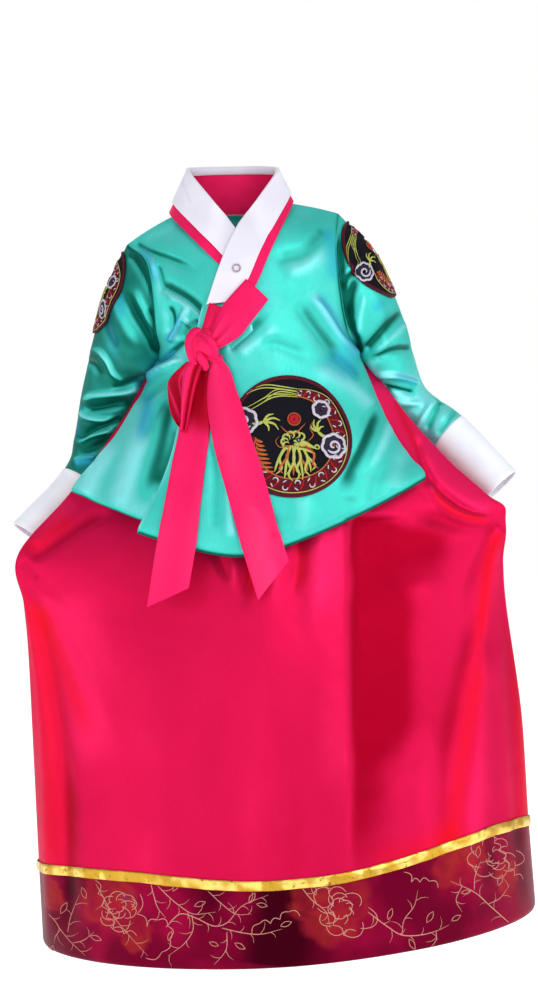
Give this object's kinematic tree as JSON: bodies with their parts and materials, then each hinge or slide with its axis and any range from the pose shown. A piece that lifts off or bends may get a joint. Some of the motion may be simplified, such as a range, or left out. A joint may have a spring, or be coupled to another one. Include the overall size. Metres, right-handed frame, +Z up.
{
  "type": "korean hanbok",
  "caption": "Child's court-style hanbok in its worn form: a green satin jacket with open side slits over a long pink skirt whose sides are lifted out to the hands.",
  "frame": {"origin": "middle of the neck's base, at the height of the shoulder line, where the wearer's shoulders carry the set", "axes": "+Z up, the front faces -Y, +X is the wearer's left"},
  "size_m": [0.6041, 0.375, 0.8961],
  "materials": {
    "green_satin": "turquoise-green satin, shot with blue",
    "white_cotton": "plain matt white",
    "pink_satin": "hot-pink satin",
    "crimson_satin": "hot-pink to crimson satin",
    "wine_organza": "dark wine organza with flowers and gold thread",
    "gold_ribbon": "crinkled metallic gold ribbon",
    "navy_badge": "near-black ground with dense embroidery",
    "snap_metal": "small grey-mauve ring"
  },
  "bodies": {
    "root": {"jacket_front_over": "green_satin", "jacket_front_under": "green_satin", "jacket_back": "green_satin", "sleeve_left": "green_satin", "sleeve_right": "green_satin", "cuff_left": "white_cotton", "cuff_right": "white_cotton", "collar_band": "pink_satin", "collar_strip": "white_cotton", "collar_snap": "snap_metal", "roundel_front": "navy_badge", "roundel_left": "navy_badge", "roundel_right": "navy_badge", "tie_strap_long": "pink_satin", "tie_strap_short": "pink_satin", "tie_knot": "pink_satin", "tie_loop": "pink_satin", "tie_tail_long": "pink_satin", "tie_tail_short": "pink_satin", "skirt_band": "crimson_satin", "skirt_front": "crimson_satin", "skirt_back": "crimson_satin", "hem_band_front": "wine_organza", "hem_band_back": "wine_organza", "hem_trim_front": "gold_ribbon", "hem_trim_back": "gold_ribbon"}
  },
  "joints": []
}
